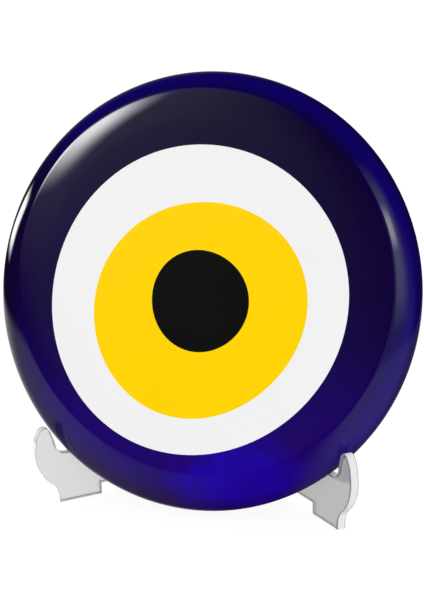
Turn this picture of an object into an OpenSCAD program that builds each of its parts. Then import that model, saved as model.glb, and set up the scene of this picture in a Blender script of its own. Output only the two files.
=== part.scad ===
// Evil eye ornament: a fused glass disc resting on a folding plate stand.
// Origin: centre of the bounding box, on the floor. +Z up, the front faces -Y, millimetres.
// The disc lifts straight up off the stand, and the two arms fold about a vertical pin.

/* [Disc] */
// diameter of the glass disc
disc_d = 150; // [100:1:220]
// thickness at the start of the shoulder
disc_t = 10; // [8:0.5:20]
// radius of the rounded rim
rim_r = 4; // [2:0.5:5.5]
// radius where the smooth front shoulder begins
shoulder_start = 57; // [40:1:68]
// angle the disc leans back from upright
lean = 14; // [5:1:25]
// height of the disc's centre above the floor
disc_z = 75.9; // [60:0.1:110]

/* [Glass layers] */
// mean radius of the white layer
white_r = 52.4; // [30:0.1:60]
// how far below the disc's centre the white layer sits
white_drop = 3; // [0:0.1:8]
// sideways offset of the white layer
white_shift = -0.7; // [-4:0.1:4]
// mean radius of the yellow layer
yellow_r = 37.1; // [20:0.1:50]
// how far below the disc's centre the yellow layer sits
yellow_drop = 6.2; // [0:0.1:12]
// sideways offset of the yellow layer
yellow_shift = 0.4; // [-4:0.1:4]
// mean radius of the black pupil
pupil_r = 17.2; // [8:0.1:30]
// how far below the disc's centre the pupil sits
pupil_drop = 3.3; // [0:0.1:8]
// sideways offset of the pupil
pupil_shift = 1; // [-4:0.1:4]
// depth of the white layer below the front face
white_depth = 3.4; // [2:0.1:6]
// depth of the yellow layer below the front face
yellow_depth = 2.4; // [1:0.1:4]
// depth of the pupil below the front face
pupil_depth = 1.6; // [0.5:0.1:3]

/* [Stand arms] */
// plate thickness of each arm
arm_t = 3.3; // [2:0.1:5]
// angle from straight forward to each arm when open
half_angle = 45; // [35:0.5:60]
// distance of each plate's inner face from the plane through the pin
face_gap = 0.2; // [0.2:0.05:1]
// distance from the disc's centre back to the pin
hinge_back = 34.7; // [24:0.1:45]
// front end of the front foot, measured along the arm from the pin
foot_front = 70.4; // [50:0.5:90]
// rear end of the front foot
foot_rear = 54.4; // [40:0.5:70]
// front end of the rear foot
rear_foot = 17; // [10:0.5:30]
// height of the arch between the feet
arch_h = 4.1; // [2:0.1:8]
// height of the cradle floor under the disc
cradle_z = 18; // [8:0.05:20]
// height of the top of the leaning upright
upright_top = 98; // [60:1:120]
// clearance between the disc and the arms
rest_gap = 0.3; // [0.2:0.05:0.6]
// depth of the hollow in the upright behind the disc
upright_sag = 8; // [3:0.5:12]
// width of the upright at its rounded top
post_w = 13; // [8:0.5:20]
// height where the upright's rear edge leaves the hinge
spine_top = 62; // [40:1:80]

/* [Hooks] */
// height of the centre of the hook's outer curve
bulge_z = 19; // [14:0.1:26]
// distance of that centre from the pin, along the arm
bulge_s = 63.7; // [50:0.1:66]
// radius of the hook's outer curve
bulge_r = 15; // [10:0.1:20]
// radius of the rounded hook tip
tip_r = 2.2; // [1:0.1:3]
// direction from the curve's centre to the tip
tip_angle = 32.5; // [15:1:50]
// how far the hook's cap stands proud of the outer curve
cap_lip = 0.3; // [0:0.05:0.6]
// direction from the curve's centre to the lower edge of the cap
cap_angle = 15; // [5:1:25]
// height where the foot's front edge turns into the hook's neck
neck_z = 1.5; // [1:0.1:6]
// front end of the cradle floor, along the arm
floor_front = 71.1; // [60:0.1:75]
// corner radius inside the cradle
cradle_r = 4; // [1:0.1:5]

/* [Hinge] */
// radius of the hinge pin
pin_r = 1.2; // [0.8:0.05:2]
// radial clearance of the pin in its knuckles
pin_gap = 0.05; // [0.02:0.01:0.1]
// outside radius of the knuckles
knuckle_r = 3.6; // [2.5:0.1:5]
// lowest end of the knuckles
knuckle_low = 6; // [4:0.5:20]
// highest end of the knuckles
knuckle_high = 60; // [40:0.5:80]
// gap between neighbouring knuckles
knuckle_gap = 0.5; // [0.3:0.05:1]
// radius of the pin's two heads
head_r = 2.4; // [1.6:0.1:4]
// thickness of the pin's heads
head_t = 1; // [0.5:0.1:2]

/* [Hidden] */
$fn = 48;
cut = 1;
ring_fn = 120;
disc_r = disc_d / 2;
back_m = -disc_t / 2;
front_m = disc_t / 2;
// rim arc centre, tangent to the flat back
rim_c = [disc_r - rim_r, back_m + rim_r];
// shoulder arc, tangent to the rim arc and level where the shoulder starts
sh_run = rim_c[0] - shoulder_start;
sh_rise = front_m - rim_c[1] - rim_r;
sh_angle = 90 - 2 * atan(sh_rise / sh_run);
sh_k = sh_run / cos(sh_angle);
sh_r = sh_k + rim_r;
sh_c = [shoulder_start, rim_c[1] - sh_k * sin(sh_angle)];
sh_steps = 12;
rim_steps = 24;
// unevenness of the poured layers: oval share and direction, three-lobed share and direction
white_uneven = [0.018, 44, 0.007, 1];
yellow_uneven = [0.035, 33, 0.011, 19];
pupil_uneven = [0.006, -50, 0.01, 6];
// arm plane: s runs along the arm from the pin, z runs up
plane_k = cos(half_angle) * cos(lean);
back_slope = sin(lean) / plane_k;
bulge_c = [bulge_s, bulge_z];
neck_dx = foot_front - bulge_s;
neck_dz = bulge_z - neck_z;
neck_r = (pow(neck_dx, 2) + pow(neck_dz, 2) - pow(bulge_r, 2)) / (2 * (bulge_r - neck_dx));
neck_c = [foot_front + neck_r, neck_z];
cap_r = bulge_r + cap_lip;
tip_k = cap_r - tip_r;
tip_c = [bulge_s + tip_k * cos(tip_angle), bulge_z + tip_k * sin(tip_angle)];
// the hook's inner wall runs straight from its foot to the rounded tip, and just cuts into the round
wall_foot = [floor_front, cradle_z + cradle_r];
wall_gap = tip_r - 0.05;
tip_d = tip_c - wall_foot;
wall_tilt = atan(tip_d[0] / tip_d[1]) - asin(wall_gap / norm(tip_d));
wall_len = sqrt(pow(norm(tip_d), 2) - pow(wall_gap, 2));
wall_top = wall_foot + wall_len * [sin(wall_tilt), cos(wall_tilt)];
// the upright meets the disc's back below this height, and again at the pad near its top
shoulder_z = 30;
back_tilt = atan(back_slope);
post_r = post_w / 2;
pad_z = upright_top - post_r * (1 - sin(back_tilt));
pad_h = 7;
// knuckles, two on each arm
edge_s = knuckle_r + 0.4;
knuckle_n = 4;
knuckle_pitch = (knuckle_high - knuckle_low + knuckle_gap) / knuckle_n;
reach = bulge_s + bulge_r;
front_y = reach * cos(half_angle) - face_gap * sin(half_angle);
pin_y = (front_y - knuckle_r) / 2;
disc_y = pin_y - hinge_back;

// position along the arm where the disc's back plane, plus the rest gap, crosses height z
function back_s(z) =
  (back_m - rest_gap + hinge_back * cos(lean) - (z - disc_z) * sin(lean)) / plane_k + face_gap * tan(half_angle);

// centre of the upright's rounded top, which touches the same line
function post_c() = [back_s(pad_z), pad_z] - post_r * [cos(back_tilt), sin(back_tilt)];

// point on an arc
function on_arc(c, r, a) = c + r * [cos(a), sin(a)];

// radius at angle a of a slightly uneven poured outline, its unevenness given as
// [oval share, oval direction, three-lobed share, three-lobed direction]
function pour(r, a, uneven) =
  r * (1 + uneven[0] * cos(2 * (a - uneven[1])) + uneven[2] * cos(3 * (a - uneven[3])));

// ---- disc ----

module place_disc() {
  translate([0, disc_y, disc_z]) rotate([90 - lean, 0, 0]) children();
}

// half section of the disc: flat front, smooth shoulder, rounded rim, flat back
module disc_profile() {
  polygon(concat(
    [[0, back_m], [0, front_m]],
    [for (i = [0 : sh_steps]) on_arc(sh_c, sh_r, 90 + (sh_angle - 90) * i / sh_steps)],
    [for (i = [1 : rim_steps]) on_arc(rim_c, rim_r, sh_angle - (90 + sh_angle) * i / rim_steps)]
  ));
}

// one poured layer, from the given depth up to the front face
module layer(r, uneven, shift, drop, depth, over = 0) {
  translate([shift, -drop, front_m - depth]) linear_extrude(depth + over)
    polygon([for (a = [0 : 3 : 357]) pour(r, a, uneven) * [cos(a), sin(a)]]);
}

module white_shape(over = 0) {
  layer(white_r, white_uneven, white_shift, white_drop, white_depth, over);
}

module yellow_shape(over = 0) {
  layer(yellow_r, yellow_uneven, yellow_shift, yellow_drop, yellow_depth, over);
}

module pupil_shape(over = 0) {
  layer(pupil_r, pupil_uneven, pupil_shift, pupil_drop, pupil_depth, over);
}

module blue_glass_disc() {
  color([0.04, 0.05, 0.42]) place_disc() difference() {
    rotate_extrude($fn = ring_fn) disc_profile();
    white_shape(cut);
  }
}

module white_glass_layer() {
  color([0.94, 0.94, 0.94]) place_disc() difference() {
    white_shape();
    yellow_shape(cut);
  }
}

module yellow_glass_layer() {
  color([1, 0.8, 0.02]) place_disc() difference() {
    yellow_shape();
    pupil_shape(cut);
  }
}

module black_glass_pupil() {
  color([0.03, 0.03, 0.03]) place_disc() pupil_shape();
}

// ---- stand ----

// the plate before the cradle is cut: feet, arch, leg and upright
module plate_outline() {
  polygon([
    [edge_s, 0],
    [rear_foot, 0],
    [rear_foot, arch_h],
    [foot_rear, arch_h],
    [foot_rear, 0],
    [foot_front, 0],
    [foot_front, neck_z],
    [neck_c[0], neck_z],
    bulge_c,
    [bulge_s, shoulder_z],
    [back_s(shoulder_z), shoulder_z],
    [back_s(pad_z), pad_z],
    post_c() - post_r * [cos(back_tilt), sin(back_tilt)],
    [edge_s, spine_top],
  ]);
  translate(post_c()) circle(post_r);
}

// slice of a disc of radius r round the curve's centre, from angle a0 to a1, under 90 degrees wide
module slice(r, a0, a1) {
  intersection() {
    translate(bulge_c) circle(r);
    polygon([
      bulge_c,
      on_arc(bulge_c, 2 * r, a0),
      on_arc(bulge_c, 2 * r, (a0 + a1) / 2),
      on_arc(bulge_c, 2 * r, a1),
    ]);
  }
}

module hook_bulge() {
  slice(bulge_r, -atan(neck_dz / (neck_c[0] - bulge_s)), tip_angle);
  slice(cap_r, cap_angle, tip_angle);
}

// the rounded tip, and the stretch that joins it to the curve
module hook_tip() {
  translate(tip_c) circle(tip_r);
  polygon([bulge_c, tip_c, on_arc(tip_c, 1.5 * tip_r, 184 - wall_tilt)]);
}

// the space the disc's edge rests in, its front corner rounded
module cradle_cut() {
  polygon([
    [back_s(cradle_z), cradle_z],
    [floor_front - cradle_r, cradle_z],
    [floor_front - cradle_r, cradle_z + cradle_r],
    wall_foot,
    wall_top,
    [wall_top[0] - tip_r, shoulder_z + cut],
    [back_s(shoulder_z + cut), shoulder_z + cut],
  ]);
  translate([floor_front - cradle_r, cradle_z + cradle_r]) circle(cradle_r);
}

// the hollow between the cradle and the pad at the top of the upright
module upright_cut() {
  low = [back_s(shoulder_z), shoulder_z];
  high = [back_s(pad_z - pad_h), pad_z - pad_h];
  chord = norm(high - low);
  big = pow(chord, 2) / (8 * upright_sag) + upright_sag / 2;
  out = [high[1] - low[1], low[0] - high[0]] / chord;
  intersection() {
    translate((low + high) / 2 + (big - upright_sag) * out) circle(big, $fn = 240);
    translate([0, shoulder_z]) square([foot_front, pad_z - pad_h - shoulder_z]);
  }
}

module arm_outline() {
  difference() {
    union() {
      plate_outline();
      hook_bulge();
      hook_tip();
    }
    translate(neck_c) circle(neck_r);
    cradle_cut();
    upright_cut();
  }
}

module knuckle(i) {
  z0 = knuckle_low + i * knuckle_pitch;
  h = knuckle_pitch - knuckle_gap;
  translate([0, 0, z0]) cylinder(r = knuckle_r, h = h);
  translate([0, face_gap, z0]) cube([edge_s + cut, arm_t, h]);
}

// one arm in its own frame: s along +X, thickness along +Y, z up
module arm(first) {
  difference() {
    union() {
      translate([0, face_gap + arm_t, 0]) rotate([90, 0, 0]) linear_extrude(arm_t) arm_outline();
      knuckle(first);
      knuckle(first + 2);
    }
    translate([0, 0, knuckle_low - cut])
      cylinder(r = pin_r + pin_gap, h = knuckle_high - knuckle_low + 2 * cut);
  }
}

module right_arm() {
  color([0.9, 0.92, 0.94, 0.35])
    translate([0, pin_y, 0]) rotate([0, 0, half_angle - 90]) arm(1);
}

module left_arm() {
  color([0.9, 0.92, 0.94, 0.35])
    mirror([1, 0, 0]) translate([0, pin_y, 0]) rotate([0, 0, half_angle - 90]) arm(0);
}

module hinge_pin() {
  low = knuckle_low - knuckle_gap;
  high = knuckle_high + knuckle_gap;
  color([0.9, 0.92, 0.94, 0.35]) translate([0, pin_y, 0]) {
    translate([0, 0, low]) cylinder(r = pin_r, h = high - low);
    translate([0, 0, low - head_t]) cylinder(r = head_r, h = head_t);
    translate([0, 0, high]) cylinder(r = head_r, h = head_t);
  }
}

blue_glass_disc();
white_glass_layer();
yellow_glass_layer();
black_glass_pupil();
left_arm();
right_arm();
hinge_pin();
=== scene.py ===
import math

import bmesh
import bpy
from mathutils import Matrix, Vector


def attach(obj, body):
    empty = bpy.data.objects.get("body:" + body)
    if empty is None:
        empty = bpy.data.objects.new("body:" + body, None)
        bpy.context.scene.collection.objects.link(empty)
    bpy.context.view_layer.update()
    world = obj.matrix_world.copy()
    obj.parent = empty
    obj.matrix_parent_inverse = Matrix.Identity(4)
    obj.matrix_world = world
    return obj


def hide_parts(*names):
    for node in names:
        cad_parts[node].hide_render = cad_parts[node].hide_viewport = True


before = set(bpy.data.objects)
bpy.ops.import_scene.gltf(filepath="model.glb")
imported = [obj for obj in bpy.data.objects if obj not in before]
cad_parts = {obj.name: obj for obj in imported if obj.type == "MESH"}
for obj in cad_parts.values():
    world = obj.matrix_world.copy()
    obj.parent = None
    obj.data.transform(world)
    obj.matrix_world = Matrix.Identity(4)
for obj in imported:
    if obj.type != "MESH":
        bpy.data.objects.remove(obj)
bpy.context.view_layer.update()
MM = 0.001

# ---- dimensions shared with the CAD source, in millimetres ----
DISC_R = 75.0
DISC_T = 10.0
LEAN = math.radians(14.0)
DISC_Z = 75.9
FRONT = DISC_T / 2
BACK = -DISC_T / 2
HALF_ANGLE = math.radians(45.0)
FACE_GAP = 0.2
ARM_T = 3.3
HINGE_BACK = 34.7
REST_GAP = 0.3
FOOT_FRONT = 70.4
FOOT_REAR = 54.4
REAR_FOOT = 17.0
ARCH_H = 4.1
CRADLE_Z = 18.0
CRADLE_R = 4.0
FLOOR_FRONT = 71.1
UPRIGHT_TOP = 98.0
UPRIGHT_SAG = 8.0
POST_W = 13.0
SPINE_TOP = 62.0
SHOULDER_Z = 30.0
PAD_H = 7.0
BULGE_S = 63.7
BULGE_Z = 19.0
BULGE_R = 15.0
TIP_R = 2.2
TIP_ANGLE = math.radians(32.5)
CAP_LIP = 0.3
CAP_ANGLE = math.radians(15.0)
NECK_Z = 1.5
PIN_R = 1.2
PIN_GAP = 0.05
KNUCKLE_R = 3.6
KNUCKLE_LOW = 6.0
KNUCKLE_HIGH = 60.0
KNUCKLE_GAP = 0.5
HEAD_R = 2.4
HEAD_T = 1.0
EDGE_S = KNUCKLE_R + 0.4
FRONT_Y = (BULGE_S + BULGE_R) * math.cos(HALF_ANGLE) - FACE_GAP * math.sin(HALF_ANGLE)
PIN_Y = (FRONT_Y - KNUCKLE_R) / 2
DISC_Y = PIN_Y - HINGE_BACK

# the disc's own frame: X across, Y up its face, Z out of the front
DISC_FRAME = Matrix.Translation(Vector((0, DISC_Y, DISC_Z)) * MM) @ Matrix.Rotation(
    math.pi / 2 - LEAN, 4, "X"
)


# ---- node helpers ----


def new_material(name):
    mat = bpy.data.materials.new(name)
    mat.use_nodes = True
    tree = mat.node_tree
    tree.nodes.clear()
    out = tree.nodes.new("ShaderNodeOutputMaterial")
    shader = tree.nodes.new("ShaderNodeBsdfPrincipled")
    tree.links.new(shader.outputs["BSDF"], out.inputs["Surface"])
    return mat, tree, shader, out


def math_node(tree, operation, a, b=None):
    node = tree.nodes.new("ShaderNodeMath")
    node.operation = operation
    for socket, value in zip(node.inputs, (a, b)):
        if value is None:
            continue
        if isinstance(value, (int, float)):
            socket.default_value = value
        else:
            tree.links.new(value, socket)
    return node.outputs["Value"]


def times(tree, a, b):
    return math_node(tree, "MULTIPLY", a, b)


def plus(tree, a, b):
    return math_node(tree, "ADD", a, b)


def smooth_range(tree, value, start, end, low=0.0, high=1.0):
    """value mapped smoothly from start..end to low..high."""
    node = tree.nodes.new("ShaderNodeMapRange")
    node.interpolation_type = "SMOOTHSTEP"
    tree.links.new(value, node.inputs["Value"])
    node.inputs["From Min"].default_value = start
    node.inputs["From Max"].default_value = end
    node.inputs["To Min"].default_value = low
    node.inputs["To Max"].default_value = high
    return node.outputs["Result"]


def dot(tree, vector, fixed):
    node = tree.nodes.new("ShaderNodeVectorMath")
    node.operation = "DOT_PRODUCT"
    tree.links.new(vector, node.inputs[0])
    node.inputs[1].default_value = fixed
    return node.outputs["Value"]


def noise(tree, vector, scale, detail=3.0, rough=0.5):
    node = tree.nodes.new("ShaderNodeTexNoise")
    node.inputs["Scale"].default_value = scale
    node.inputs["Detail"].default_value = detail
    node.inputs["Roughness"].default_value = rough
    tree.links.new(vector, node.inputs["Vector"])
    return node.outputs["Fac"]


def object_coords(tree):
    return tree.nodes.new("ShaderNodeTexCoord").outputs["Object"]


def disc_coords(tree):
    """Object coordinates turned into the disc's own frame, in metres."""
    mapping = tree.nodes.new("ShaderNodeMapping")
    mapping.vector_type = "TEXTURE"
    mapping.inputs["Location"].default_value = DISC_FRAME.translation
    mapping.inputs["Rotation"].default_value = DISC_FRAME.to_euler()
    tree.links.new(object_coords(tree), mapping.inputs["Vector"])
    return mapping.outputs["Vector"]


def bump_from(tree, shader, height, strength, distance):
    bump = tree.nodes.new("ShaderNodeBump")
    bump.inputs["Strength"].default_value = strength
    bump.inputs["Distance"].default_value = distance
    tree.links.new(height, bump.inputs["Height"])
    tree.links.new(bump.outputs["Normal"], shader.inputs["Normal"])


def ramp(tree, value, stops):
    node = tree.nodes.new("ShaderNodeValToRGB")
    elements = node.color_ramp.elements
    while len(elements) < len(stops):
        elements.new(0.5)
    for element, (position, color) in zip(elements, stops):
        element.position = position
        element.color = (*color, 1)
    tree.links.new(value, node.inputs["Fac"])
    return node.outputs["Color"]


def absorb(tree, out, color, density):
    node = tree.nodes.new("ShaderNodeVolumeAbsorption")
    node.inputs["Color"].default_value = (*color, 1)
    node.inputs["Density"].default_value = density
    tree.links.new(node.outputs["Volume"], out.inputs["Volume"])


# ---- materials ----


# sizes and places on the disc here are in metres, in the disc's own frame
GLASS_IOR = 1.5
GLASS_WAVE = dict(strength=0.12, distance=0.0002)
WAVE_SCALE = 45.0
# place, half sizes, breakup and blue of the painted patch of light coming through the glass
PATCH_X = 0.0145
PATCH_Y = -0.062
PATCH_HALF_WIDTH = 0.024
PATCH_HALF_HEIGHT = 0.017
PATCH_BREAKUP = 2.2
GLOW_PATCH_BLUE = 0.20
RED_FLOOR = 0.002
RED_SHARE = 0.08
GREEN = 0.0002


def distance_of(tree, a, b):
    """The length of the vector (a, b)."""
    return math_node(tree, "SQRT", plus(tree, times(tree, a, a), times(tree, b, b)))


def cobalt_glass():
    """Dark cobalt glass, whose look comes mostly from its base colour, into which light coming through
    the glass is painted: little light passes through.
    """
    mat, tree, shader, out = new_material("cobalt_glass")
    place = disc_coords(tree)
    split = tree.nodes.new("ShaderNodeSeparateXYZ")
    tree.links.new(place, split.inputs["Vector"])
    x, y = split.outputs["X"], split.outputs["Y"]
    radius = distance_of(tree, x, y)
    streaks = noise(tree, place, 60.0, 4.0, 0.6)
    # painted light: the blue grows brighter towards the foot, standing in for light that comes through
    # the glass from the floor, and darker towards the rim
    tone_and_glow_by_height = smooth_range(tree, y, 0.075, -0.01, 0.022, 0.044)
    foot = smooth_range(tree, y, 0.0, -0.06, 0.0, 0.105)
    body = plus(tree, tone_and_glow_by_height, foot)
    dark_edge = smooth_range(tree, radius, 0.065, 0.074, 1.0, 0.4)
    # painted light: one bright patch of light coming through the glass, low and a little to the right,
    # its outline broken up by the streaks
    dx = math_node(tree, "DIVIDE", math_node(tree, "SUBTRACT", x, PATCH_X), PATCH_HALF_WIDTH)
    dy = math_node(tree, "DIVIDE", plus(tree, y, -PATCH_Y), PATCH_HALF_HEIGHT)
    uneven = times(tree, math_node(tree, "SUBTRACT", streaks, 0.5), PATCH_BREAKUP)
    far = plus(tree, distance_of(tree, dx, dy), uneven)
    glow_patch = times(tree, smooth_range(tree, far, 1.15, 0.55, 0.0, GLOW_PATCH_BLUE),
                  smooth_range(tree, radius, 0.070, 0.075, 1.0, 0.3))
    # painted light through the rim, brighter towards the upper right
    side = smooth_range(tree, plus(tree, x, times(tree, y, 0.8)), -0.045, 0.01)
    rim_glow = times(tree, smooth_range(tree, radius, 0.0655, 0.0725),
                smooth_range(tree, radius, 0.0725, 0.0755, 0.11, 0.03))
    blue = plus(tree, times(tree, body, dark_edge), glow_patch)
    blue = plus(tree, blue, times(tree, rim_glow, side))
    blue = times(tree, blue, smooth_range(tree, streaks, 0.2, 0.8, 0.88, 1.12))
    color = tree.nodes.new("ShaderNodeCombineColor")
    # the red follows the glass's blue with its painted light
    tree.links.new(plus(tree, RED_FLOOR, times(tree, body, RED_SHARE)), color.inputs["Red"])
    color.inputs["Green"].default_value = GREEN
    tree.links.new(blue, color.inputs["Blue"])
    tree.links.new(color.outputs["Color"], shader.inputs["Base Color"])
    shader.inputs["Transmission Weight"].default_value = 0.1
    shader.inputs["Roughness"].default_value = 0.02
    shader.inputs["IOR"].default_value = GLASS_IOR
    absorb(tree, out, (0.10, 0.02, 0.90), 620.0)
    bump_from(tree, shader, noise(tree, place, WAVE_SCALE, 2.0), **GLASS_WAVE)
    return mat


def opaque_glass(name, color, spread, rough=0.05):
    """Opaque polished glass, faintly cloudy by the given share of its colour."""
    mat, tree, shader, _ = new_material(name)
    place = disc_coords(tree)
    cloud = noise(tree, place, 26.0, 4.0)
    low = [c * (1 - spread) for c in color]
    tree.links.new(ramp(tree, cloud, [(0.3, low), (0.7, color)]), shader.inputs["Base Color"])
    shader.inputs["Roughness"].default_value = rough
    shader.inputs["IOR"].default_value = GLASS_IOR
    shader.inputs["Specular IOR Level"].default_value = 0.3
    bump_from(tree, shader, noise(tree, place, WAVE_SCALE, 2.0), **GLASS_WAVE)
    return mat


# the painted dark lines of shade along the rounded edges reach this far in from each face of a plate,
# in millimetres
LINE_DEPTH = 0.45


def clear_plastic(name, plate_normal, face_shade, edge_glow, outline_shade):
    """Clear moulded plastic: flat faces painted grey as shade, edges painted bright as light coming
    through them, framed by thin painted lines of shade near both faces.
    """
    mat, tree, shader, out = new_material(name)
    coords = tree.nodes.new("ShaderNodeTexCoord")
    flat = math_node(tree, "ABSOLUTE", dot(tree, coords.outputs["Normal"], plate_normal))
    depth = dot(tree, coords.outputs["Object"], plate_normal)
    middle = (PIN_Y * plate_normal[1] + FACE_GAP + ARM_T / 2) * MM
    depth = math_node(tree, "ABSOLUTE", math_node(tree, "SUBTRACT", depth, middle))
    line_start, line_full = ARM_T / 2 - LINE_DEPTH, ARM_T / 2 - LINE_DEPTH / 2
    painted_outline = smooth_range(tree, depth, line_start * MM, line_full * MM)
    painted_outline = times(tree, painted_outline, smooth_range(tree, flat, 0.95, 0.85))
    fine = noise(tree, coords.outputs["Object"], 70.0, 3.0)
    mottle = times(tree, math_node(tree, "SUBTRACT", fine, 0.5), 0.1)
    shade = plus(tree, smooth_range(tree, flat, 0.97, 0.85), mottle)
    shade = plus(tree, shade, painted_outline)
    # the faces get painted shade, the edges painted light, and the lines painted shade
    dull, face = (face_shade * 0.94,) * 3, (face_shade, face_shade, face_shade * 1.02)
    edge, dark = (edge_glow,) * 3, (outline_shade,) * 3
    stops = [(0.0, dull), (0.03, face), (0.45, edge), (0.55, edge), (0.95, dark)]
    tree.links.new(ramp(tree, times(tree, shade, 0.5), stops), shader.inputs["Base Color"])
    clear = smooth_range(tree, flat, 0.85, 0.97, 0.15, 0.8)
    tree.links.new(clear, shader.inputs["Transmission Weight"])
    shader.inputs["Roughness"].default_value = 0.04
    shader.inputs["IOR"].default_value = 1.49
    absorb(tree, out, (0.90, 0.91, 0.93), 10.0)
    bump_from(tree, shader, fine, 0.05, 0.0001)
    return mat


COBALT = cobalt_glass()
WHITE = opaque_glass("white_opaque_glass", (0.87, 0.87, 0.872), 0.015)
YELLOW = opaque_glass("yellow_opaque_glass", (1.0, 0.65, 0.0), 0.02)
BLACK = opaque_glass("black_opaque_glass", (0.004, 0.004, 0.004), 0.3)
RIGHT_NORMAL = (math.cos(HALF_ANGLE), math.sin(HALF_ANGLE), 0)
LEFT_NORMAL = (-math.cos(HALF_ANGLE), math.sin(HALF_ANGLE), 0)
# the two arms are lit and shaded copies of one plastic: the right arm's faces are painted darker, the
# left arm's lighter
RIGHT_PLASTIC = clear_plastic("clear_plastic_right", RIGHT_NORMAL, 0.47, 0.93, 0.25)
LEFT_PLASTIC = clear_plastic("clear_plastic_left", LEFT_NORMAL, 0.86, 0.85, 0.45)
PIN_PLASTIC = clear_plastic("clear_plastic_pin", (0, 0, 1), 0.8, 0.8, 0.8)


# ---- mesh helpers ----


SHARP_ANGLE = 35.0
PLATE_SHARP_ANGLE = 12.0


def on_arc(centre, r, a):
    return (centre[0] + r * math.cos(a), centre[1] + r * math.sin(a))


def arc(centre, r, start, end, steps):
    return [on_arc(centre, r, start + (end - start) * i / steps) for i in range(steps + 1)]


def ring_verts(bm, points, z):
    return [bm.verts.new((x * MM, y * MM, z * MM)) for x, y in points]


def bridge(bm, a, b):
    n = len(a)
    for i in range(n):
        bm.faces.new((a[i], a[(i + 1) % n], b[(i + 1) % n], b[i]))


def finish_mesh(bm, name, material, body, nodes, matrix=DISC_FRAME, sharp=SHARP_ANGLE):
    """The mesh placed in the shared frame as one named piece, riding its body."""
    bmesh.ops.recalc_face_normals(bm, faces=bm.faces)
    mesh = bpy.data.meshes.new(name)
    bm.to_mesh(mesh)
    bm.free()
    mesh.transform(matrix)
    for poly in mesh.polygons:
        poly.use_smooth = True
    mesh.set_sharp_from_angle(angle=math.radians(sharp))
    obj = bpy.data.objects.new(name, mesh)
    bpy.context.scene.collection.objects.link(obj)
    mesh.materials.append(material)
    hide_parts(*nodes)
    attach(obj, body)


# ---- disc ----

# points round the disc
SEGMENTS = 240
# the face ends at a slightly oval edge set above the disc's centre, so the shoulder is widest at the
# foot: mean radius, then waves round it as (number, size in millimetres, direction in degrees)
FACE_R = 66.0
FACE_WAVES = [(1, 3.4, 86.0), (2, 0.9, -58.0)]
# the face bends back softly over this distance inside its edge, but stays flat next to the white layer
SOFT_RUN = 12.0
WHITE_MARGIN = 1.2
# its tilt at the edge, in degrees: the least, how much more at the most, and in which direction
SOFT_TILT = 1.5
SOFT_EXTRA = 8.5
SOFT_TURN = 120.0
SHOULDER_DROP = 0.57
SHOULDER_POWER = 2.5
RIM_BACK = 3.0


def face_edge(a):
    """Distance from the disc's centre to the edge of the flat face, towards angle a."""
    return FACE_R + sum(size * math.cos(k * a - math.radians(turn)) for k, size, turn in FACE_WAVES)


def disc_profile(a, inner, soft_steps=14, shoulder_steps=32, back_steps=12):
    """The disc's half section towards angle a, from flat face to flat back, as (radius, height)."""
    edge = face_edge(a)
    lift = (math.sin(a + math.radians(90.0 - SOFT_TURN)) + 1) / 2
    soft = math.radians(SOFT_TILT + SOFT_EXTRA * lift)
    run = min(SOFT_RUN, edge - inner)
    r, m = edge - run, FRONT
    points = [(r, m)]
    for i in range(soft_steps):
        step = run / soft_steps
        m -= step * math.tan(soft * (i + 0.5) / soft_steps)
        r += step
        points.append((r, m))
    # a clear break, then a shoulder that steepens into the rim, and a round back edge
    mid = BACK + RIM_BACK
    for i in range(1, shoulder_steps + 1):
        t = math.pi / 2 * i / shoulder_steps
        across = math.sin(t) ** (2 / SHOULDER_POWER)
        up = max(0.0, math.cos(t)) ** (2 / SHOULDER_POWER) * (1 - SHOULDER_DROP * across)
        points.append((edge + (DISC_R - edge) * across, mid + (m - mid) * up))
    centre = (DISC_R - RIM_BACK, mid)
    points += arc(centre, RIM_BACK, 0, -math.pi / 2, back_steps)[1:]
    return points


# the poured layers: radius, unevenness as in the CAD source, offset from the disc's centre, and depth
LAYERS = {
    "white": dict(r=52.4, uneven=(0.018, 44, 0.007, 1), shift=-0.7, drop=3.0, depth=3.4),
    "yellow": dict(r=37.1, uneven=(0.035, 33, 0.011, 19), shift=0.4, drop=6.2, depth=2.4),
    "pupil": dict(r=17.2, uneven=(0.006, -50, 0.01, 6), shift=1.0, drop=3.3, depth=1.6),
}
ANGLES = [2 * math.pi * i / SEGMENTS for i in range(SEGMENTS)]


def outline(layer):
    """A slightly uneven poured outline, as in the CAD source."""
    oval, oval_way, lobes, lobes_way = layer["uneven"]
    ring = []
    for a in ANGLES:
        r = layer["r"] * (
            1
            + oval * math.cos(2 * (a - math.radians(oval_way)))
            + lobes * math.cos(3 * (a - math.radians(lobes_way)))
        )
        ring.append((layer["shift"] + r * math.cos(a), -layer["drop"] + r * math.sin(a)))
    return ring


def make_blue():
    """The blue glass, with a pocket for the white layer."""
    bm = bmesh.new()
    white = LAYERS["white"]
    inner = ring_verts(bm, outline(white), FRONT)
    pocket = ring_verts(bm, outline(white), FRONT - white["depth"])
    rings = [inner]
    margins = [math.hypot(*p) + WHITE_MARGIN for p in outline(white)]
    sections = [disc_profile(a, margin) for a, margin in zip(ANGLES, margins)]
    for k in range(len(sections[0])):
        rings.append(
            [
                bm.verts.new((s[k][0] * math.cos(a) * MM, s[k][0] * math.sin(a) * MM, s[k][1] * MM))
                for a, s in zip(ANGLES, sections)
            ]
        )
    for a, b in zip(rings, rings[1:]):
        bridge(bm, a, b)
    bridge(bm, pocket, inner)
    bm.faces.new(pocket)
    bm.faces.new(rings[-1])
    finish_mesh(bm, "blue_glass", COBALT, "disc", ["blue_glass_disc"])


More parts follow.
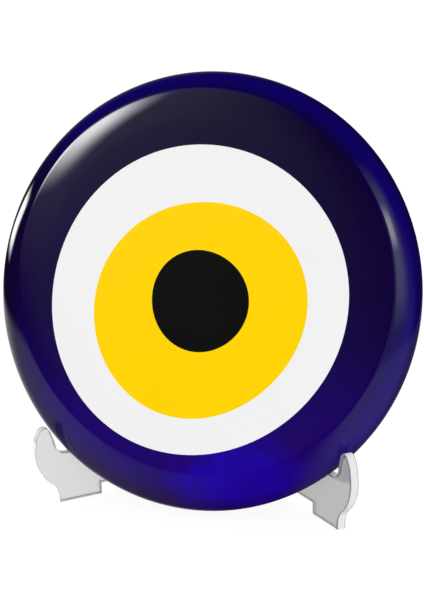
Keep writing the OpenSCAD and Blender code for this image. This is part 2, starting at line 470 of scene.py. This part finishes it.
def make_layer(name, layer, inner_layer, material, nodes):
    """One poured layer, with a pocket for the layer inside it if there is one."""
    bm = bmesh.new()
    floor = FRONT - layer["depth"]
    top = ring_verts(bm, outline(layer), FRONT)
    bottom = ring_verts(bm, outline(layer), floor)
    bridge(bm, top, bottom)
    bm.faces.new(bottom)
    if inner_layer:
        inner = ring_verts(bm, outline(inner_layer), FRONT)
        pocket = ring_verts(bm, outline(inner_layer), FRONT - inner_layer["depth"])
        bridge(bm, inner, top)
        bridge(bm, inner, pocket)
        bm.faces.new(pocket)
    else:
        bm.faces.new(top)
    finish_mesh(bm, name, material, "disc", nodes)


make_blue()
make_layer("white_layer", LAYERS["white"], LAYERS["yellow"], WHITE,
           ["white_glass_layer"])
make_layer("yellow_layer", LAYERS["yellow"], LAYERS["pupil"], YELLOW,
           ["yellow_glass_layer"])
make_layer("black_pupil", LAYERS["pupil"], None, BLACK, ["black_glass_pupil"])


# ---- stand ----

# the arm's plane: distance along the arm from the pin, and height
PLANE_K = math.cos(HALF_ANGLE) * math.cos(LEAN)
BACK_TILT = math.atan(math.sin(LEAN) / PLANE_K)
POST_R = POST_W / 2
PAD_Z = UPRIGHT_TOP - POST_R * (1 - math.sin(BACK_TILT))
# half the turn over which the hook's curve rises to its cap
CAP_BLEND = math.radians(1.5)
# the rounding of the plate's edges, and how far a tab's faces lie inside the plate's
BEVEL = 0.35
BEVEL_STEPS = 3
TAB_INSET = 0.03
TAB_OVERLAP = 1.0
KNUCKLE_COUNT = 4
KNUCKLE_STEPS = 44
BORE_SIDES = 32
BORE_OVERSHOOT = 1.0
PIN_ROUND = 0.4
PIN_STEPS = 48
# points closer than this, in metres, become one
ARM_WELD = 0.000001
PIN_WELD = 0.000005


def back_s(z):
    """Where the disc's back, plus the rest gap, crosses height z along the arm."""
    depth = BACK - REST_GAP + HINGE_BACK * math.cos(LEAN) - (z - DISC_Z) * math.sin(LEAN)
    return depth / PLANE_K + FACE_GAP * math.tan(HALF_ANGLE)


def arm_outline():
    """The plate's outline in the arm's plane, as (distance from the pin, height), anticlockwise."""
    dx, dz = FOOT_FRONT - BULGE_S, BULGE_Z - NECK_Z
    neck_r = (dx * dx + dz * dz - BULGE_R**2) / (2 * (BULGE_R - dx))
    neck_c = (FOOT_FRONT + neck_r, NECK_Z)
    turn = math.atan2(dz, BULGE_S - neck_c[0])
    bulge = (BULGE_S, BULGE_Z)
    cap_r = BULGE_R + CAP_LIP
    tip_c = on_arc(bulge, cap_r - TIP_R, TIP_ANGLE)
    foot = (FLOOR_FRONT, CRADLE_Z + CRADLE_R)
    to_tip = math.hypot(tip_c[0] - foot[0], tip_c[1] - foot[1])
    tilt = math.atan2(tip_c[0] - foot[0], tip_c[1] - foot[1]) - math.asin(TIP_R / to_tip)
    points = [(EDGE_S, 0), (REAR_FOOT, 0), (REAR_FOOT, ARCH_H), (FOOT_REAR, ARCH_H), (FOOT_REAR, 0)]
    points.append((FOOT_FRONT, 0))
    points += arc(neck_c, neck_r, math.pi, turn, 10)
    points += arc(bulge, BULGE_R, turn - math.pi, CAP_ANGLE - CAP_BLEND, 28)[1:]
    points += arc(bulge, cap_r, CAP_ANGLE + CAP_BLEND, TIP_ANGLE, 7)
    points += arc(tip_c, TIP_R, TIP_ANGLE, math.pi - tilt, 16)[1:]
    points += arc((FLOOR_FRONT - CRADLE_R, foot[1]), CRADLE_R, 0, -math.pi / 2, 10)
    points.append((back_s(CRADLE_Z), CRADLE_Z))
    low = Vector((back_s(SHOULDER_Z), SHOULDER_Z))
    high = Vector((back_s(PAD_Z - PAD_H), PAD_Z - PAD_H))
    chord = (high - low).length
    big = chord**2 / (8 * UPRIGHT_SAG) + UPRIGHT_SAG / 2
    out = Vector((high.y - low.y, low.x - high.x)) / chord
    hub = (low + high) / 2 + (big - UPRIGHT_SAG) * out
    start = math.atan2(low.y - hub.y, low.x - hub.x) % (2 * math.pi)
    end = math.atan2(high.y - hub.y, high.x - hub.x) % (2 * math.pi)
    points += arc(hub, big, start, end, 24)
    post_c = (back_s(PAD_Z) - POST_R * math.cos(BACK_TILT), PAD_Z - POST_R * math.sin(BACK_TILT))
    points += arc(post_c, POST_R, BACK_TILT, math.pi + BACK_TILT, 20)
    points.append((EDGE_S, SPINE_TOP))
    return points


def add_knuckle(bm, low, high):
    """A round knuckle with the tab that joins it to the plate, as one upright prism."""
    near, far = FACE_GAP + TAB_INSET, FACE_GAP + ARM_T - TAB_INSET
    start, end = math.asin(far / KNUCKLE_R), math.asin(near / KNUCKLE_R) + 2 * math.pi
    points = arc((0.0, 0.0), KNUCKLE_R, start, end, KNUCKLE_STEPS)
    points += [(EDGE_S + TAB_OVERLAP, near), (EDGE_S + TAB_OVERLAP, far)]
    rings = [ring_verts(bm, points, z) for z in (low, high)]
    bridge(bm, rings[0], rings[1])
    bm.faces.new(rings[0])
    bm.faces.new(rings[1])


def add_bore(bm, r, low, high):
    """The cylinder that is cut out of the knuckles for the pin."""
    made = bmesh.ops.create_cone(bm, cap_ends=True, segments=BORE_SIDES, radius1=r * MM,
                                 radius2=r * MM, depth=(high - low) * MM)
    for v in made["verts"]:
        v.co.z += (low + high) / 2 * MM


def to_object(bm, name):
    bmesh.ops.recalc_face_normals(bm, faces=bm.faces)
    mesh = bpy.data.meshes.new(name)
    bm.to_mesh(mesh)
    bm.free()
    obj = bpy.data.objects.new(name, mesh)
    bpy.context.scene.collection.objects.link(obj)
    return obj


def merged(base, tool, operation):
    """The base mesh after an exact boolean with the tool object, which is used up."""
    modifier = base.modifiers.new("join", "BOOLEAN")
    modifier.operation = operation
    modifier.solver = "EXACT"
    modifier.object = tool
    depsgraph = bpy.context.evaluated_depsgraph_get()
    mesh = bpy.data.meshes.new_from_object(base.evaluated_get(depsgraph))
    base.modifiers.clear()
    base.data = mesh
    bpy.data.objects.remove(tool)
    return base


def make_arm(name, side, first, material, node, body):
    """One clear arm: a plate with rounded edges, two knuckles and the bore for the pin.

    side is 1 for the right arm and -1 for its mirror image, and first is its lower knuckle, from 0.
    """
    bm = bmesh.new()
    bottom = [bm.verts.new((s * MM, FACE_GAP * MM, z * MM)) for s, z in arm_outline()]
    face = bm.faces.new(bottom)
    made = bmesh.ops.extrude_face_region(bm, geom=[face])
    moved = [v for v in made["geom"] if isinstance(v, bmesh.types.BMVert)]
    bmesh.ops.translate(bm, verts=moved, vec=(0, ARM_T * MM, 0))
    rims = [e for e in bm.edges if abs(e.verts[0].co.y - e.verts[1].co.y) < MM / 2]
    bmesh.ops.bevel(bm, geom=rims, offset=BEVEL * MM, segments=BEVEL_STEPS, profile=0.5,
                    affect="EDGES", clamp_overlap=False)
    plate = to_object(bm, name + "_plate")
    pitch = (KNUCKLE_HIGH - KNUCKLE_LOW + KNUCKLE_GAP) / KNUCKLE_COUNT
    for k in (first, first + 2):
        low = KNUCKLE_LOW + k * pitch
        high = low + pitch - KNUCKLE_GAP
        bm = bmesh.new()
        add_knuckle(bm, low, high)
        plate = merged(plate, to_object(bm, "knuckle"), "UNION")
    bm = bmesh.new()
    add_bore(bm, PIN_R + PIN_GAP, KNUCKLE_LOW - BORE_OVERSHOOT, KNUCKLE_HIGH + BORE_OVERSHOOT)
    plate = merged(plate, to_object(bm, "bore"), "DIFFERENCE")
    bm = bmesh.new()
    bm.from_mesh(plate.data)
    bpy.data.objects.remove(plate)
    bmesh.ops.remove_doubles(bm, verts=bm.verts, dist=ARM_WELD)
    bmesh.ops.triangulate(bm, faces=[f for f in bm.faces if len(f.verts) > 4])
    if side < 0:
        bmesh.ops.scale(bm, vec=(-1, 1, 1), verts=bm.verts)
    matrix = Matrix.Translation((0, PIN_Y * MM, 0)) @ Matrix.Rotation(
        side * (HALF_ANGLE - math.pi / 2), 4, "Z"
    )
    finish_mesh(bm, name, material, body, [node], matrix, sharp=PLATE_SHARP_ANGLE)


def make_pin():
    """The hinge pin with a rounded head at each end."""
    low, high = KNUCKLE_LOW - KNUCKLE_GAP, KNUCKLE_HIGH + KNUCKLE_GAP
    half = [(0.0, low - HEAD_T)]
    half += arc((HEAD_R - PIN_ROUND, low - HEAD_T + PIN_ROUND), PIN_ROUND, -math.pi / 2, 0, 5)
    half += [(HEAD_R, low), (PIN_R, low), (PIN_R, high), (HEAD_R, high)]
    half += arc((HEAD_R - PIN_ROUND, high + HEAD_T - PIN_ROUND), PIN_ROUND, 0, math.pi / 2, 5)
    half.append((0.0, high + HEAD_T))
    bm = bmesh.new()
    verts = [bm.verts.new((r * MM, 0, z * MM)) for r, z in half]
    edges = [bm.edges.new(pair) for pair in zip(verts, verts[1:])]
    bmesh.ops.spin(bm, geom=verts + edges, axis=(0, 0, 1), cent=(0, 0, 0), steps=PIN_STEPS,
                   angle=2 * math.pi, use_duplicate=False)
    bmesh.ops.remove_doubles(bm, verts=bm.verts, dist=PIN_WELD)
    matrix = Matrix.Translation((0, PIN_Y * MM, 0))
    finish_mesh(bm, "pin", PIN_PLASTIC, "hinge", ["hinge_pin"], matrix)


make_arm("clear_right_arm", 1, 1, RIGHT_PLASTIC, "right_arm", "right_stand_arm")
make_arm("clear_left_arm", -1, 0, LEFT_PLASTIC, "left_arm", "left_stand_arm")
make_pin()


# ---- floor, light and camera ----


FLOOR_SIZE = 6.0
FLOOR_DROP = 0.0002


def stage_floor():
    """A pale floor that glows a little, so that it reads as white with only faint shadows."""
    bpy.ops.mesh.primitive_plane_add(size=FLOOR_SIZE, location=(0, 0, -FLOOR_DROP))
    floor = bpy.context.object
    floor.name = "floor"
    mat, _, shader, _ = new_material("floor_paper")
    shader.inputs["Base Color"].default_value = (0.12, 0.12, 0.12, 1)
    shader.inputs["Roughness"].default_value = 0.9
    shader.inputs["Specular IOR Level"].default_value = 0.0
    shader.inputs["Emission Color"].default_value = (1, 1, 1, 1)
    shader.inputs["Emission Strength"].default_value = 0.92
    floor.data.materials.append(mat)
    floor.visible_glossy = False


# lamps seen in the gloss: azimuth and height in degrees, then how far the lamp reaches from there to
# the left, right, bottom and top, each as where its soft edge ends and starts, and last its strength
PANELS = [
    (-38, 30, (0.50, 0.30), (0.165, 0.0), (0.20, 0.0), (0.18, 0.0), 18.0),
    (-38, 30, (0.50, 0.30), (0.55, 0.10), (0.45, 0.10), (0.50, 0.10), 0.5),
    (-99, 9, (0.18, 0.07), (0.16, 0.06), (0.14, 0.05), (0.13, 0.06), 11.0),
    (47, 29, (0.12, 0.02), (0.14, 0.03), (0.13, 0.02), (0.15, 0.03), 4.2),
    (46, 26, (0.16, 0.06), (0.28, 0.05), (0.55, 0.15), (0.50, 0.10), 1.1),
    (-18, 15, (0.45, 0.10), (0.35, 0.10), (0.45, 0.10), (0.40, 0.10), 0.05),
]


def heading(azimuth, height):
    """The unit direction at an azimuth from the front (plus is right) and a height, in degrees."""
    a, h = math.radians(azimuth), math.radians(height)
    return Vector((math.sin(a) * math.cos(h), -math.cos(a) * math.cos(h), math.sin(h)))


def soft_panel(tree, direction, azimuth, height, left, right, down, up):
    """How much of a soft-edged light panel a direction sees, from 0 to 1."""
    centre = heading(azimuth, height)
    across = heading(azimuth + 90, 0)
    above = heading(azimuth, height + 90)
    ahead = dot(tree, direction, centre)
    u = math_node(tree, "DIVIDE", dot(tree, direction, across), ahead)
    v = math_node(tree, "DIVIDE", dot(tree, direction, above), ahead)
    share = math_node(tree, "GREATER_THAN", ahead, 0.05)
    to_left, to_down = (-left[0], -left[1]), (-down[0], -down[1])
    for value, (far, near) in ((u, to_left), (u, right), (v, to_down), (v, up)):
        share = times(tree, share, smooth_range(tree, value, far, near))
    return share


PLAIN_LIGHT = 1.05
ROOM_GLOW = 0.02


def world_light():
    """Even white light, but mirrored rays see a dark room with soft lamps and faint glows."""
    world = bpy.data.worlds.new("studio")
    world.use_nodes = True
    world.cycles.sampling_method = "NONE"
    tree = world.node_tree
    tree.nodes.clear()
    out = tree.nodes.new("ShaderNodeOutputWorld")
    direction = tree.nodes.new("ShaderNodeTexCoord").outputs["Generated"]
    split = tree.nodes.new("ShaderNodeSeparateXYZ")
    tree.links.new(direction, split.inputs["Vector"])
    x, y, z = (split.outputs[k] for k in "XYZ")
    behind = times(tree, smooth_range(tree, y, -0.25, 0.15, 0.0, 1.2),
                   smooth_range(tree, x, -0.1, -0.4))
    left = plus(tree, smooth_range(tree, x, -0.05, -0.95, 0.0, 0.5), behind)
    right = smooth_range(tree, x, 0.1, 0.35, 0.0, 0.24)
    low = times(tree, plus(tree, left, right), smooth_range(tree, z, -0.09, -0.17))
    side = times(tree, smooth_range(tree, x, 0.2, 0.45, 0.0, 0.22),
                 smooth_range(tree, math_node(tree, "ABSOLUTE", z), 0.75, 0.45))
    side = times(tree, side, smooth_range(tree, y, -0.25, -0.55))
    back = times(tree, smooth_range(tree, y, 0.3, 0.9, 0.0, 0.5), smooth_range(tree, x, 0.3, -0.3))
    glow = plus(tree, plus(tree, ROOM_GLOW, low), math_node(tree, "MAXIMUM", side, back))
    for azimuth, height, *edges, strength in PANELS:
        share = soft_panel(tree, direction, azimuth, height, *edges)
        glow = plus(tree, glow, times(tree, share, strength))
    path = tree.nodes.new("ShaderNodeLightPath")
    plain = tree.nodes.new("ShaderNodeBackground")
    plain.inputs["Strength"].default_value = PLAIN_LIGHT
    gloss = tree.nodes.new("ShaderNodeBackground")
    tree.links.new(glow, gloss.inputs["Strength"])
    plain.inputs["Color"].default_value = (1, 1, 1, 1)
    gloss.inputs["Color"].default_value = (1, 1, 1, 1)
    mix = tree.nodes.new("ShaderNodeMixShader")
    # rays that have passed into the glass or plastic see the even light again
    outside = math_node(tree, "LESS_THAN", path.outputs["Transmission Depth"], 0.5)
    mirrored = times(tree, path.outputs["Is Glossy Ray"], outside)
    tree.links.new(mirrored, mix.inputs["Fac"])
    tree.links.new(plain.outputs["Background"], mix.inputs[1])
    tree.links.new(gloss.outputs["Background"], mix.inputs[2])
    tree.links.new(mix.outputs["Shader"], out.inputs["Surface"])
    bpy.context.scene.world = world


# the camera looks at a point above the origin, from the right and a little above: degrees, metres
CAMERA_AZIMUTH = 18.114
CAMERA_HEIGHT = 14.043
CAMERA_DISTANCE = 0.4978
CAMERA_ROLL = -1.672
CAMERA_LENS = 86.375
CAMERA_SHIFT = (0.0041, -0.02086)


def camera():
    back = heading(CAMERA_AZIMUTH, CAMERA_HEIGHT)
    data = bpy.data.cameras.new("camera")
    cam = bpy.data.objects.new("camera", data)
    cam.location = Vector((0, 0, DISC_R * MM)) + back * CAMERA_DISTANCE
    quat = (-back).to_track_quat("-Z", "Y")
    cam.rotation_mode = "QUATERNION"
    roll = Matrix.Rotation(math.radians(CAMERA_ROLL), 3, "Z")
    cam.rotation_quaternion = quat @ roll.to_quaternion()
    data.sensor_width = 36
    data.lens = CAMERA_LENS
    data.shift_x, data.shift_y = CAMERA_SHIFT
    data.clip_start = 0.01
    bpy.context.scene.collection.objects.link(cam)
    bpy.context.scene.camera = cam


stage_floor()
world_light()
camera()
bpy.context.scene.view_settings.view_transform = "Standard"
